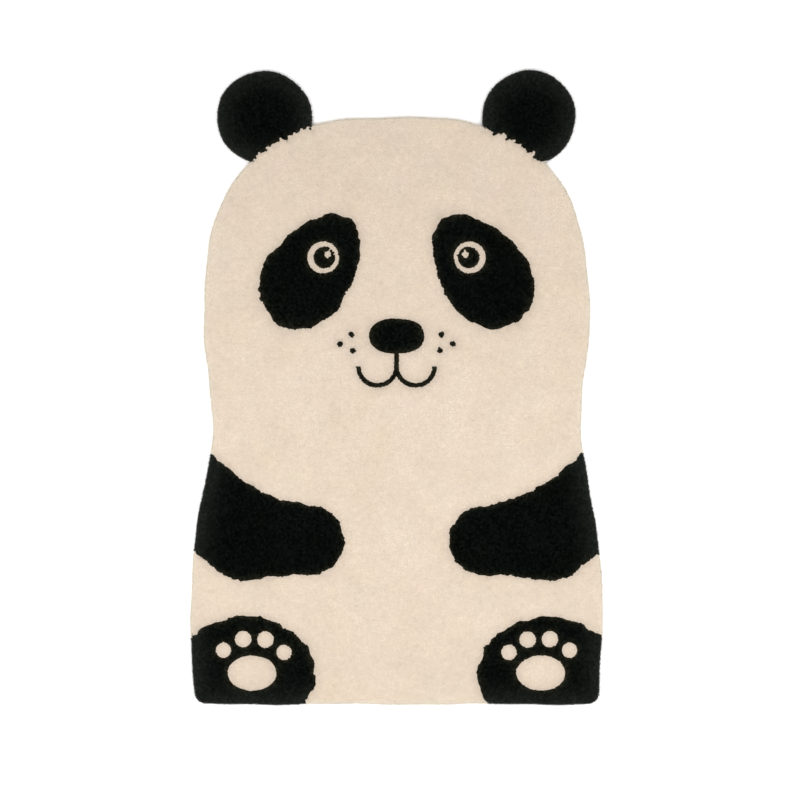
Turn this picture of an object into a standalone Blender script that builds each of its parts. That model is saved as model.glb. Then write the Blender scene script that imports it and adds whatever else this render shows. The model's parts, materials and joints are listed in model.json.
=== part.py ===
"""A hand-tufted children's rug in the shape of a sitting panda, lying flat on the floor.

The rug is one piece: cut wool pile, tufted into a canvas whose rim is turned under and glued.
Cream and black wool are tufted into the same canvas, so the colours have no solids of their own.

Units are metres. +Z is up and +Y points from the hem to the panda's head. The origin is on the
underside, in the middle of the box that holds the rug.
"""

from math import cos, pi, radians, sin
from typing import NamedTuple

import bpy
import numpy as np

# Overall size
RUG_LENGTH = 1.200  # from the hem to the tops of the ears
RUG_WIDTH = 0.780  # across the belly, the widest place
RUG_THICKNESS = 0.014  # canvas and pile together

# The rim, seen in section
CANVAS_THICKNESS = 0.0025  # canvas, glue and the turned-under hem
CANVAS_SETBACK = 0.0025  # how far the canvas stays inside the pile
PILE_FLARE = 0.0015  # height in which the lowest pile leans out past the canvas
PILE_SHOULDER = 0.007  # how far in from the rim the pile is rounded off
SHOULDER_STEPS = 4

# The head
CROWN_TOP = 1.112  # height of the head between the ears
CROWN_SQUARENESS = 2.7  # exponent of the crown's superellipse, where 2 is a plain ellipse
EAR_RADIUS = 0.090
EAR_CENTRE_X = 0.250

# The hem
HEM_CORNER_RADIUS = 0.022

# Points along each stretch of half the outline
HEM_STEPS = 14
CORNER_STEPS = 6
SIDE_STEPS = 5  # for each pair of sections
CHEEK_STEPS = 20  # crown from the temple to the ear
EAR_STEPS = 32
CROWN_STEPS = 12  # crown from the ear to the middle
CROSSING_SAMPLES = 2000

WOOL_CREAM = (0.83, 0.69, 0.56, 1.0)
WOOL_ROUGHNESS = 0.95
SHARP_EDGE = radians(50)


class Section(NamedTuple):
    """One level of the panda's side, as shares of the rug's length and of half its width."""

    height: float
    half_width: float


class Wave(NamedTuple):
    """One wave of the hand-cut edge, with a whole number of waves around the rug."""

    count: int
    reach: float
    phase: float


SIDE_SECTIONS = (
    Section(height=HEM_CORNER_RADIUS / RUG_LENGTH, half_width=0.985),
    Section(height=0.138, half_width=1.000),  # belly
    Section(height=0.250, half_width=0.985),
    Section(height=0.346, half_width=0.933),  # arms
    Section(height=0.421, half_width=0.897),  # neck
    Section(height=0.508, half_width=0.910),  # jaw
    Section(height=0.600, half_width=0.938),  # temple
)

EDGE_WAVES = (
    Wave(count=15, reach=0.0011, phase=0.7),
    Wave(count=38, reach=0.0007, phase=2.3),
)


def hem_and_corner():
    """The right half of the hem, from the middle to the top of its rounded corner."""
    corner = SIDE_SECTIONS[0]
    corner_x = corner.half_width * RUG_WIDTH / 2 - HEM_CORNER_RADIUS
    hem = [(corner_x * step / HEM_STEPS, 0.0) for step in range(HEM_STEPS)]
    turns = [pi / 2 * (step / CORNER_STEPS - 1) for step in range(CORNER_STEPS)]
    arc = [
        (corner_x + HEM_CORNER_RADIUS * cos(turn), HEM_CORNER_RADIUS * (1 + sin(turn)))
        for turn in turns
    ]
    return hem + arc


def side():
    """The right side from the hem corner to the temple, a smooth curve through the sections."""
    knots = np.array([(s.half_width * RUG_WIDTH / 2, s.height * RUG_LENGTH) for s in SIDE_SECTIONS])
    before = 2 * knots[0] - knots[1]
    after = (knots[-2][0], 2 * knots[-1][1] - knots[-2][1])  # so the side meets the crown upright
    padded = np.vstack([before, knots, after])
    points = []
    for start in range(len(knots) - 1):
        a, b, c, d = padded[start : start + 4]
        for step in range(SIDE_STEPS):
            t = step / SIDE_STEPS
            points.append(
                0.5 * (2 * b + (c - a) * t + (2 * a - 5 * b + 4 * c - d) * t**2)
                + 0.5 * (3 * b - a - 3 * c + d) * t**3
            )
    return [tuple(point) for point in points]


class Crown:
    """The top of the head, a quarter of a superellipse that starts at the temple."""

    def __init__(self):
        temple = SIDE_SECTIONS[-1]
        self.base = temple.height * RUG_LENGTH
        self.half_width = temple.half_width * RUG_WIDTH / 2
        self.rise = CROWN_TOP - self.base

    def point(self, turn):
        """The point at a turn of 0 at the temple and pi / 2 at the top."""
        power = 2 / CROWN_SQUARENESS
        across = self.half_width * max(cos(turn), 0.0) ** power
        return across, self.base + self.rise * max(sin(turn), 0.0) ** power

    def level(self, x, y):
        """Under 1 inside the crown, 1 on its line and more outside."""
        power = CROWN_SQUARENESS
        above = np.maximum(y - self.base, 0.0) / self.rise
        return (np.abs(x) / self.half_width) ** power + above**power

    def turn_at(self, x, y):
        """The turn of a point that lies on the crown's line."""
        power = CROWN_SQUARENESS / 2
        return np.arctan2(((y - self.base) / self.rise) ** power, (x / self.half_width) ** power)

    def stretch(self, first, last, steps):
        """Points from one turn up to, but without, another."""
        return [self.point(first + (last - first) * step / steps) for step in range(steps)]


def ear_point(turn):
    """The point of the right ear's circle at a turn from +X."""
    return EAR_CENTRE_X + EAR_RADIUS * cos(turn), RUG_LENGTH - EAR_RADIUS * (1 - sin(turn))


def ear_crossings(crown):
    """The turns of the ear's circle where it leaves the head and where it comes back."""
    turns = np.linspace(-pi / 2, 3 * pi / 2, CROSSING_SAMPLES)
    x, y = np.array([ear_point(turn) for turn in turns]).T
    outside = turns[crown.level(x, y) > 1]
    return outside[0], outside[-1]


def head():
    """The right half of the head with its ear, from the temple to the middle of the crown."""
    crown = Crown()
    leaves, returns = ear_crossings(crown)
    cheek_end = crown.turn_at(*ear_point(leaves))
    crown_start = crown.turn_at(*ear_point(returns))
    ear = [ear_point(leaves + (returns - leaves) * step / EAR_STEPS) for step in range(EAR_STEPS)]
    return (
        crown.stretch(0.0, cheek_end, CHEEK_STEPS)
        + ear
        + crown.stretch(crown_start, pi / 2, CROWN_STEPS)
        + [(0.0, CROWN_TOP)]
    )


def mitres(outline):
    """For each point, the step out that moves both of its edges outwards by one unit."""
    ahead = np.roll(outline, -1, axis=0) - outline
    ahead /= np.linalg.norm(ahead, axis=1)[:, None]
    after = np.column_stack([ahead[:, 1], -ahead[:, 0]])
    before = np.roll(after, 1, axis=0)
    return (before + after) / (1 + (before * after).sum(axis=1))[:, None]


def hand_cut(outline):
    """The outline with the gentle waves that cutting along a drawn line by hand leaves."""
    steps = np.linalg.norm(np.roll(outline, -1, axis=0) - outline, axis=1)
    along = 2 * pi * (np.cumsum(steps) - steps) / steps.sum()
    reach = sum(wave.reach * np.sin(wave.count * along + wave.phase) for wave in EDGE_WAVES)
    return outline + mitres(outline) * reach[:, None]


def fitted(outline):
    """The outline at the rug's own length and width, centred on the origin."""
    low, high = outline.min(axis=0), outline.max(axis=0)
    return (outline - (low + high) / 2) * (RUG_WIDTH, RUG_LENGTH) / (high - low)


def rug_outline():
    """The whole edge, anticlockwise from the middle of the hem."""
    right = hem_and_corner() + side() + head()
    left = [(-x, y) for x, y in reversed(right[1:-1])]
    return fitted(hand_cut(np.array(right + left)))


def rim_section():
    """Heights and insets of the rim, from the canvas on the floor up to the shorn pile."""
    flare_top = CANVAS_THICKNESS + PILE_FLARE
    rounding = RUG_THICKNESS - flare_top
    turns = [pi / 2 * step / SHOULDER_STEPS for step in range(SHOULDER_STEPS + 1)]
    shoulder = [
        (flare_top + rounding * sin(turn), PILE_SHOULDER * (1 - cos(turn))) for turn in turns
    ]
    return [(0.0, CANVAS_SETBACK), (CANVAS_THICKNESS, CANVAS_SETBACK)] + shoulder


def rug_mesh():
    """The closed solid: one ring of points for each level of the rim, and two flat faces."""
    outline = rug_outline()
    out = mitres(outline)
    count = len(outline)
    levels = rim_section()
    vertices = []
    for height, inset in levels:
        vertices += [(x, y, height) for x, y in outline - out * inset]
    faces = [tuple(range(count))[::-1]]
    for level in range(len(levels) - 1):
        low, high = level * count, (level + 1) * count
        for here in range(count):
            there = (here + 1) % count
            faces.append((low + here, low + there, high + there, high + here))
    faces.append(tuple(range((len(levels) - 1) * count, len(levels) * count)))
    mesh = bpy.data.meshes.new("rug")
    mesh.from_pydata(vertices, [], faces)
    mesh.shade_smooth()
    mesh.set_sharp_from_angle(angle=SHARP_EDGE)
    return mesh


def wool():
    """Matt cream wool."""
    material = bpy.data.materials.new("wool_cream")
    material.use_nodes = True
    shader = material.node_tree.nodes["Principled BSDF"]
    shader.inputs["Base Color"].default_value = WOOL_CREAM
    shader.inputs["Roughness"].default_value = WOOL_ROUGHNESS
    shader.inputs["Metallic"].default_value = 0.0
    return material


def main():
    """Builds the rug in an empty scene."""
    for item in list(bpy.data.objects):
        bpy.data.objects.remove(item, do_unlink=True)
    mesh = rug_mesh()
    mesh.materials.append(wool())
    bpy.context.scene.collection.objects.link(bpy.data.objects.new("rug", mesh))


main()
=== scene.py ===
"""The looks of a hand-tufted children's rug in the shape of a sitting panda.

The rug lies flat on the floor. A canvas, its rim turned under, carries a dense lower pile. Geometry
Nodes plant the cut tufts on that, longer yarns that lean out along the rim, and a few stray fibres
beyond them. Each tuft is cream or black by where it is rooted in the design, so the borders of the
colours are as toothed as a tufting gun leaves them.

Units are metres. +Z is up, +Y points from the hem to the panda's head, and the origin is on the
underside, in the middle of the rug.
"""

import json
import logging
from dataclasses import dataclass, field
from enum import Enum, IntEnum
from math import cos, pi, radians, sin
from typing import Any, NamedTuple, Protocol

import bpy
import numpy as np
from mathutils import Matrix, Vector, geometry, noise

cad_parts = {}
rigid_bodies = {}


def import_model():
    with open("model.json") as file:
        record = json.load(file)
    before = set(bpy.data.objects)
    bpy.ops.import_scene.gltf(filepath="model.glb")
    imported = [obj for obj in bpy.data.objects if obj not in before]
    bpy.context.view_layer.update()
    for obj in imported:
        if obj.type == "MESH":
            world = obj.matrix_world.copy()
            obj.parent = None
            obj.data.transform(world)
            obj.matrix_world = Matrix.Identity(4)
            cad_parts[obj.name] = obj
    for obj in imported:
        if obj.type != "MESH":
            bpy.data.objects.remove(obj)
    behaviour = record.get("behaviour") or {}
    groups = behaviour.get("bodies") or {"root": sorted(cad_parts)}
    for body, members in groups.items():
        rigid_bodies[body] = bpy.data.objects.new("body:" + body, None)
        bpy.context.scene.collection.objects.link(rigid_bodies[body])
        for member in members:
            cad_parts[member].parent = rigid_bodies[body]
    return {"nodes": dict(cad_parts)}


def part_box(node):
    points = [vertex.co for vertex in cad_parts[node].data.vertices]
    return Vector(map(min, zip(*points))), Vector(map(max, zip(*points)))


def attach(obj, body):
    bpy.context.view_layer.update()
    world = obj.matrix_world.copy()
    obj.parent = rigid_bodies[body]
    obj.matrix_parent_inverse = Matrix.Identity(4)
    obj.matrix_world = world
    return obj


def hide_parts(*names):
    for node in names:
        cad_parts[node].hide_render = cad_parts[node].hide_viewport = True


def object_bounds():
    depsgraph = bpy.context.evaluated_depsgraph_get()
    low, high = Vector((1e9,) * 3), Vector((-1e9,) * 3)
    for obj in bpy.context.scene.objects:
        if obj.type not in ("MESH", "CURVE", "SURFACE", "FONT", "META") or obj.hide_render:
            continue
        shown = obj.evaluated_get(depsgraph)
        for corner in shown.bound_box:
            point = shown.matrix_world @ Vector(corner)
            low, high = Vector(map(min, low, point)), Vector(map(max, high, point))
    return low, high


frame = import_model()
CAD_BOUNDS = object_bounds()

NODE = "rug"
BODY = "root"
BAKE_MAP = "OFBake"
WELD = 1e-6  # within this distance, points are one
EDGE_DEPTH = 0.065  # how far in from the rug's edge its nearness is told
AT_ONCE = 4000  # how many places are measured at once, to spare memory
WHITE = (1.0, 1.0, 1.0, 1.0)
LOG = logging.getLogger("rug")


# ---------------------------------------------------------------- the design


class Wool(Enum):
    """The two yarns of the pile, by the record's names for them."""

    CREAM = "wool_cream"
    BLACK = "wool_black"


class Motif(Protocol):
    """A shape of the design, on the right half of the rug."""

    def distance(self, x: np.ndarray, y: np.ndarray) -> np.ndarray:
        """How far points lie outside the shape.

        Args:
            x: how far right of the middle they are.
            y: how high above the hem.

        Returns:
            The distances, negative inside it.
        """


def rounded_square(u: np.ndarray, v: np.ndarray, squareness: float) -> np.ndarray:
    """How far out points are, as a share of a unit circle or, above 2, a squarer form of it."""
    return (np.abs(u) ** squareness + np.abs(v) ** squareness) ** (1 / squareness)


@dataclass(frozen=True)
class Oval:
    """An ellipse, which may be turned, squarer, or fuller at one end.

    x and y are its middle, across and up its half sizes before it is turned by turn degrees,
    fuller the share by which its far end is wider, and squareness its exponent.
    """

    x: float
    y: float
    across: float
    up: float
    turn: float = 0.0
    fuller: float = 0.0
    squareness: float = 2.0

    def distance(self, x: np.ndarray, y: np.ndarray) -> np.ndarray:
        """How far points lie outside the oval.

        Args:
            x: how far right of the middle they are.
            y: how high above the hem.

        Returns:
            The distances, negative inside it.
        """
        along, over = cos(radians(self.turn)), sin(radians(self.turn))
        u = ((x - self.x) * along + (y - self.y) * over) / self.across
        v = ((y - self.y) * along - (x - self.x) * over) / (self.up * (1 + self.fuller * u))
        level = rounded_square(u, v, self.squareness)
        return (level - 1) * min(self.across, self.up)


@dataclass(frozen=True)
class Limb:
    """A soft limb through joints of (x, y, radius), which melt into each other over blend."""

    joints: tuple[tuple[float, float, float], ...]
    blend: float = 0.03

    def distance(self, x: np.ndarray, y: np.ndarray) -> np.ndarray:
        """How far points lie outside the limb.

        Args:
            x: how far right of the middle they are.
            y: how high above the hem.

        Returns:
            The distances, negative inside it.
        """
        found = None
        for (x0, y0, r0), (x1, y1, r1) in zip(self.joints, self.joints[1:]):
            dx, dy = x1 - x0, y1 - y0
            share = np.clip(((x - x0) * dx + (y - y0) * dy) / (dx * dx + dy * dy), 0, 1)
            bone = np.hypot(x - x0 - share * dx, y - y0 - share * dy) - (r0 + (r1 - r0) * share)
            if found is None:
                found = bone
                continue
            side = np.clip(0.5 + 0.5 * (bone - found) / self.blend, 0, 1)
            found = bone * (1 - side) + found * side - self.blend * side * (1 - side)
        return found


@dataclass(frozen=True)
class Smile:
    """The lower half of a ring around x and y, drawn as a tufted line twice half_line wide."""

    x: float
    y: float
    radius: float
    half_line: float

    def distance(self, x: np.ndarray, y: np.ndarray) -> np.ndarray:
        """How far points of the right half lie outside the line, negative inside it."""
        ring = np.abs(np.hypot(x - self.x, y - self.y) - self.radius) - self.half_line
        return np.maximum(ring, y - self.y)


@dataclass(frozen=True)
class Head:
    """All that lies below the line of the crown, which stands on a straight base.

    squareness is its exponent, and inset how far the line lies inside the rug's own edge.
    """

    base: float
    half_width: float
    rise: float
    squareness: float
    inset: float

    def distance(self, x: np.ndarray, y: np.ndarray) -> np.ndarray:
        """How far points lie outside the line.

        Args:
            x: how far right of the middle they are.
            y: how high above the hem.

        Returns:
            The distances, negative inside it.
        """
        above = np.maximum(y - self.base, 0) / self.rise
        level = rounded_square(x / self.half_width, above, self.squareness)
        return (level - 1) * self.rise + self.inset


class Layer(NamedTuple):
    """A motif in one wool, laid over those before it.

    ragged is how far its border wanders, and toothed how deep the hair along it reaches.
    """

    wool: Wool
    motif: Motif
    ragged: float = 0.0
    toothed: float = 0.0


def spots(wool: Wool, *rounds: tuple[float, float, float]) -> tuple[Layer, ...]:
    """Round spots in one wool, each given by its x, its y and its radius."""
    return tuple(Layer(wool, Oval(x, y, radius, radius)) for x, y, radius in rounds)


EARS = spots(Wool.BLACK, (0.250, 1.110, 0.093))
HEAD = (Layer(Wool.CREAM, Head(0.720, 0.366, 0.392, 2.7, 0.006), ragged=0.002, toothed=0.013),)
EYES = (
    Layer(Wool.BLACK, Oval(0.158, 0.822, 0.120, 0.080, turn=-54, fuller=0.18), ragged=0.0045),
    *spots(Wool.CREAM, (0.138, 0.845, 0.0300)),
    *spots(Wool.BLACK, (0.136, 0.845, 0.0205)),
    *spots(Wool.CREAM, (0.130, 0.851, 0.0062)),
)
MUZZLE = (
    Layer(Wool.BLACK, Oval(0.0, 0.697, 0.052, 0.033, squareness=2.4), ragged=0.0012),
    Layer(Wool.BLACK, Limb(((0.0, 0.672, 0.0045), (0.0, 0.632, 0.0045)))),
    Layer(Wool.BLACK, Smile(0.036, 0.640, 0.036, 0.0045)),
    *spots(Wool.BLACK, (0.085, 0.700, 0.006), (0.106, 0.682, 0.006), (0.082, 0.670, 0.006)),
)
ARM_JOINTS = ((0.430, 0.425, 0.090), (0.285, 0.322, 0.078), (0.165, 0.312, 0.066))
ARMS = (Layer(Wool.BLACK, Limb(ARM_JOINTS), ragged=0.005),)
FEET = (
    Layer(Wool.BLACK, Oval(0.285, 0.060, 0.132, 0.108), ragged=0.005),
    Layer(Wool.CREAM, Oval(0.272, 0.062, 0.046, 0.033), ragged=0.001),
    *spots(Wool.CREAM, (0.212, 0.101, 0.0145), (0.247, 0.125, 0.0155)),
    *spots(Wool.CREAM, (0.289, 0.126, 0.0155), (0.326, 0.105, 0.0145)),
)


@dataclass(frozen=True)
class Design:
    """The panda, seen from the front. Heights are above the hem, and both halves are alike.

    broad and fine are the lengths over which a border wanders, and tooth the length of crown
    over which its hair changes, as seen from the middle of the head. fine_share and split_share
    are how strong the shorter waves of each are beside the longer ones.
    """

    layers: tuple[Layer, ...] = EARS + HEAD + EYES + MUZZLE + ARMS + FEET
    broad: float = 0.026
    fine: float = 0.009
    fine_share: float = 0.6
    tooth: float = 0.0095
    split_share: float = 0.5
    head_middle: float = 0.720
    head_radius: float = 0.430

    @staticmethod
    def waves(places: np.ndarray, length: float) -> np.ndarray:
        """Smooth noise at each place, from about -0.6 to 0.6, that changes over a length."""
        return np.array([noise.noise(Vector((x / length, y / length, 0.0))) for x, y in places])

    def hair(self, x: np.ndarray, height: np.ndarray) -> np.ndarray:
        """Noise like that of waves, but the same all along each ray from the head's middle.

        Args:
            x: how far right of the middle the points are.
            height: how high above the hem.

        Returns:
            One number for each point.
        """
        along = np.arctan2(x, height - self.head_middle) * self.head_radius
        rays = np.column_stack([along, np.zeros(len(along))])
        return self.waves(rays, self.tooth) + self.split_share * self.waves(rays, self.tooth / 2)

    def black_distance(self, places: np.ndarray) -> np.ndarray:
        """How far places of the rug lie from the black wool, negative in it.

        Args:
            places: rows of x and y, in the rug's frame.

        Returns:
            One distance for each place.
        """
        x = np.abs(places[:, 0])
        height = places[:, 1] - CAD_BOUNDS[0].y
        wander = self.waves(places, self.broad) + self.fine_share * self.waves(places, self.fine)
        hair = self.hair(places[:, 0], height)
        found = np.full(len(places), np.inf)
        for wool, motif, ragged, toothed in self.layers:
            away = motif.distance(x, height) + ragged * wander + toothed * hair
            found = np.minimum(found, away) if wool is Wool.BLACK else np.maximum(found, -away)
        return found

    def cleared(self, places: np.ndarray, gap: float, step: float = 0.0005) -> np.ndarray:
        """Places moved off the borders of the colours, so that no tuft straddles one.

        Args:
            places: rows of x and y.
            gap: how far from a border a place ends up at least.
            step: how far apart the slope of the distance is measured.

        Returns:
            The moved places.
        """
        away = self.black_distance(places)
        slopes = [self.black_distance(places + way) - away for way in np.eye(2) * step]
        way = np.column_stack(slopes)
        way /= np.maximum(np.linalg.norm(way, axis=1), WELD)[:, None]
        push = np.sign(away) * np.maximum(gap - np.abs(away), 0)
        return places + way * push[:, None]


# ---------------------------------------------------------------- meshes


def corners_of(mesh: bpy.types.Mesh) -> tuple[np.ndarray, np.ndarray]:
    """Reads a mesh.

    Args:
        mesh: any mesh.

    Returns:
        Its points, and the numbers of the three points of each of its triangles.
    """
    mesh.calc_loop_triangles()
    points = np.empty(len(mesh.vertices) * 3, np.float32)
    mesh.vertices.foreach_get("co", points)
    corners = np.empty(len(mesh.loop_triangles) * 3, np.int32)
    mesh.loop_triangles.foreach_get("vertices", corners)
    return points.reshape(-1, 3).astype(float), corners.reshape(-1, 3)


def mitres(loop: np.ndarray) -> np.ndarray:
    """Finds which way a loop grows.

    Args:
        loop: points in the plane, anticlockwise.

    Returns:
        For each point, the step that moves the sides beside it out by one unit.
    """
    ahead = np.roll(loop, -1, axis=0) - loop
    ahead /= np.linalg.norm(ahead, axis=1)[:, None]
    after = np.column_stack([ahead[:, 1], -ahead[:, 0]])
    before = np.roll(after, 1, axis=0)
    return (before + after) / (1 + (before * after).sum(axis=1))[:, None]


class Outline:
    """The rug's edge, an anticlockwise loop of points that is read from the solid's underside.

    The canvas is the loop of the underside. The pile's edge lies outside it by the setback.
    """

    def __init__(self, node: bpy.types.Object) -> None:
        """Reads the edge.

        Args:
            node: the rug's solid.
        """
        self.canvas = self.lowest_loop(node.data)
        low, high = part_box(node.name)
        self.setback = (high.y - low.y - np.ptp(self.canvas[:, 1])) / 2
        self.thickness = high.z - low.z
        self.edge = self.canvas + mitres(self.canvas) * self.setback
        self.out = mitres(self.edge)

    @staticmethod
    def lowest_loop(mesh: bpy.types.Mesh) -> np.ndarray:
        """The border of the faces that lie on the floor.

        Args:
            mesh: the solid, as loose triangles.

        Returns:
            The border's points, anticlockwise seen from above.
        """
        points, corners = corners_of(mesh)
        _, same = np.unique(np.round(points / WELD).astype(int), axis=0, return_inverse=True)
        same = same.ravel()
        lying = corners[(points[corners, 2] < WELD).all(axis=1)]
        sides = {
            (same[a], same[b]): a
            for triangle in lying
            for a, b in zip(triangle, np.roll(triangle, -1))
        }
        ahead = {start: (end, a) for (start, end), a in sides.items() if (end, start) not in sides}
        here = first = min(ahead)
        walked = []
        while True:
            here, point = ahead[here]
            walked.append(point)
            if here == first:
                break
        return points[walked[::-1], :2]

    def inset(self, depth: float) -> np.ndarray:
        """The loop at a depth inside the pile's edge."""
        return self.edge - self.out * depth

    def nearest(self, places: np.ndarray) -> tuple[np.ndarray, np.ndarray]:
        """For places inside the rug, how far the edge is and which way.

        Args:
            places: rows of x and y.

        Returns:
            The distances, and unit vectors that point out to the edge.
        """
        starts = self.edge
        sides = np.roll(starts, -1, axis=0) - starts
        lengths = (sides**2).sum(axis=1)
        depths, ways = [], []
        for some in np.array_split(places, len(places) // AT_ONCE + 1):
            off = some[:, None] - starts
            share = np.clip((off * sides).sum(axis=2) / lengths, 0, 1)
            gaps = off - share[..., None] * sides
            away = np.linalg.norm(gaps, axis=2)
            best = away.argmin(axis=1)
            rows = np.arange(len(some))
            depths.append(away[rows, best])
            ways.append(-gaps[rows, best] / np.maximum(away[rows, best], WELD)[:, None])
        return np.concatenate(depths), np.concatenate(ways)

    @staticmethod
    def inside(places: np.ndarray, loop: np.ndarray) -> np.ndarray:
        """Counts the sides of a loop that lie to the right of each place.

        Args:
            places: rows of x and y.
            loop: the loop's points, in order.

        Returns:
            Whether each place is inside the loop.
        """
        odd = np.zeros(len(places), bool)
        for (x0, y0), (x1, y1) in zip(loop, np.roll(loop, -1, axis=0)):
            spans = (y0 > places[:, 1]) != (y1 > places[:, 1])
            if y0 != y1:
                cuts = places[:, 0] < x0 + (places[:, 1] - y0) * (x1 - x0) / (y1 - y0)
                odd ^= spans & cuts
        return odd


def edge_share(depth: np.ndarray) -> np.ndarray:
    """How near places at some depth inside the edge are to it: 1 on it, 0 from EDGE_DEPTH on."""
    return np.clip(1 - depth / EDGE_DEPTH, 0, 1)


def filled(loop: np.ndarray, inner: np.ndarray) -> tuple[np.ndarray, list[list[int]]]:
    """Fills a loop with triangles.

    Args:
        loop: the border's points, anticlockwise.
        inner: points inside it that the triangles use too.

    Returns:
        The points, with the loop's first and in order, and the triangles.
    """
    given = [Vector(point) for point in np.vstack([loop, inner])]
    points, _, faces, origins, _, _ = geometry.delaunay_2d_cdt(
        given, [], [list(range(len(loop)))], 1, WELD
    )
    order = {tuple(sorted(found))[0]: here for here, found in enumerate(origins) if found}
    rank = {here: place for place, here in enumerate(order[key] for key in sorted(order))}
    placed = np.array([points[here] for here in rank])
    return placed, [[rank[corner] for corner in face] for face in faces]


def stacked(
    name: str, rings: list[np.ndarray], top_inner: np.ndarray, low_inner: np.ndarray
) -> bpy.types.Mesh:
    """A closed mesh from rings of points, lowest first, with both ends filled.

    Args:
        name: the mesh's name.
        rings: rows of x, y and z, with the same number of points in each.
        top_inner: x and y of points inside the top ring.
        low_inner: x and y of points inside the lowest ring.

    Returns:
        The mesh.
    """
    count = len(rings[0])
    points = [np.vstack(rings)]
    faces = []
    for low in range(0, (len(rings) - 1) * count, count):
        for here in range(count):
            there = (here + 1) % count
            faces.append((low + here, low + there, low + count + there, low + count + here))
    ends = ((rings[0], low_inner, 0, -1), (rings[-1], top_inner, (len(rings) - 1) * count, 1))
    for ring, inner, first, way in ends:
        placed, triangles = filled(ring[:, :2], inner)
        added = sum(len(some) for some in points)
        points.append(np.column_stack([placed[count:], np.full(len(placed) - count, ring[0, 2])]))
        for triangle in triangles:
            named = [first + c if c < count else added + c - count for c in triangle]
            faces.append(tuple(named[::way]))
    mesh = bpy.data.meshes.new(name)
    mesh.from_pydata(np.vstack(points).tolist(), [], faces)
    mesh.shade_smooth()
    return mesh


def at_height(loop: np.ndarray, height: float) -> np.ndarray:
    """A flat loop's points at a height."""
    return np.column_stack([loop, np.full(len(loop), height)])


def store(mesh: bpy.types.Mesh, attributes: dict[str, np.ndarray]) -> None:
    """Writes attributes to a mesh.

    Args:
        mesh: the mesh.
        attributes: by their names, a number, whole number or vector for each of its points.
    """
    for name, values in attributes.items():
        vector = values.ndim == 2
        whole = values.dtype.kind == "i"
        kind = "FLOAT_VECTOR" if vector else "INT" if whole else "FLOAT"
        layer = mesh.attributes.new(name, kind, "POINT")
        held = values.astype(np.int32 if whole else np.float32).ravel()
        layer.data.foreach_set("vector" if vector else "value", held)


def lay_bake_map(mesh: bpy.types.Mesh) -> None:
    """Gives a mesh a UV map in which it lies as it does seen from above.

    Args:
        mesh: the mesh.
    """
    points, _ = corners_of(mesh)
    low, size = points[:, :2].min(axis=0), np.ptp(points[:, :2], axis=0)
    corners = np.empty(len(mesh.loops), np.int32)
    mesh.loops.foreach_get("vertex_index", corners)
    layer = mesh.uv_layers.new(name=BAKE_MAP)
    layer.data.foreach_set("uv", ((points[corners, :2] - low) / size).ravel())


def shown(name: str, mesh: bpy.types.Mesh) -> bpy.types.Object:
    """Puts a mesh in the scene.

    Args:
        name: the object's name.
        mesh: its mesh, in the rug's frame.

    Returns:
        The object, which sits at the origin.
    """
    piece = bpy.data.objects.new(name, mesh)
    bpy.context.scene.collection.objects.link(piece)
    return piece


# ---------------------------------------------------------------- node trees


class Term:
    """A node's output that can be calculated with: each operator adds a Math node."""

    def __init__(self, graph: "Graph", socket: bpy.types.NodeSocket) -> None:
        """Wraps a socket of the graph's tree."""
        self.graph = graph
        self.socket = socket

    def other(self, name: str) -> "Term":
        """Another output of the same node."""
        return Term(self.graph, self.graph.find(self.socket.node.outputs, name))

    def maths(self, operation: str, *values: Any) -> "Term":
        """The result of a Math node on terms or numbers."""
        return self.graph.add("ShaderNodeMath", {"operation": operation}, dict(enumerate(values)))

    def sine(self) -> "Term":
        """The sine of this, in radians."""
        return self.maths("SINE", self)

    def magnitude(self) -> "Term":
        """This without its sign."""
        return self.maths("ABSOLUTE", self)

    def at_least(self, floor: float) -> "Term":
        """This, or the floor where this is lower."""
        return self.maths("MAXIMUM", self, floor)

    def __add__(self, other: Any) -> "Term":
        """This plus the other."""
        return self.maths("ADD", self, other)

    def __radd__(self, other: Any) -> "Term":
        """The other plus this."""
        return self.maths("ADD", other, self)

    def __sub__(self, other: Any) -> "Term":
        """This minus the other."""
        return self.maths("SUBTRACT", self, other)

    def __rsub__(self, other: Any) -> "Term":
        """The other minus this."""
        return self.maths("SUBTRACT", other, self)

    def __mul__(self, other: Any) -> "Term":
        """This times the other."""
        return self.maths("MULTIPLY", self, other)

    def __rmul__(self, other: Any) -> "Term":
        """The other times this."""
        return self.maths("MULTIPLY", other, self)

    def __pow__(self, other: Any) -> "Term":
        """This to the power of the other."""
        return self.maths("POWER", self, other)

    def __gt__(self, other: Any) -> "Term":
        """1 where this is greater than the other, and else 0."""
        return self.maths("GREATER_THAN", self, other)


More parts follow.
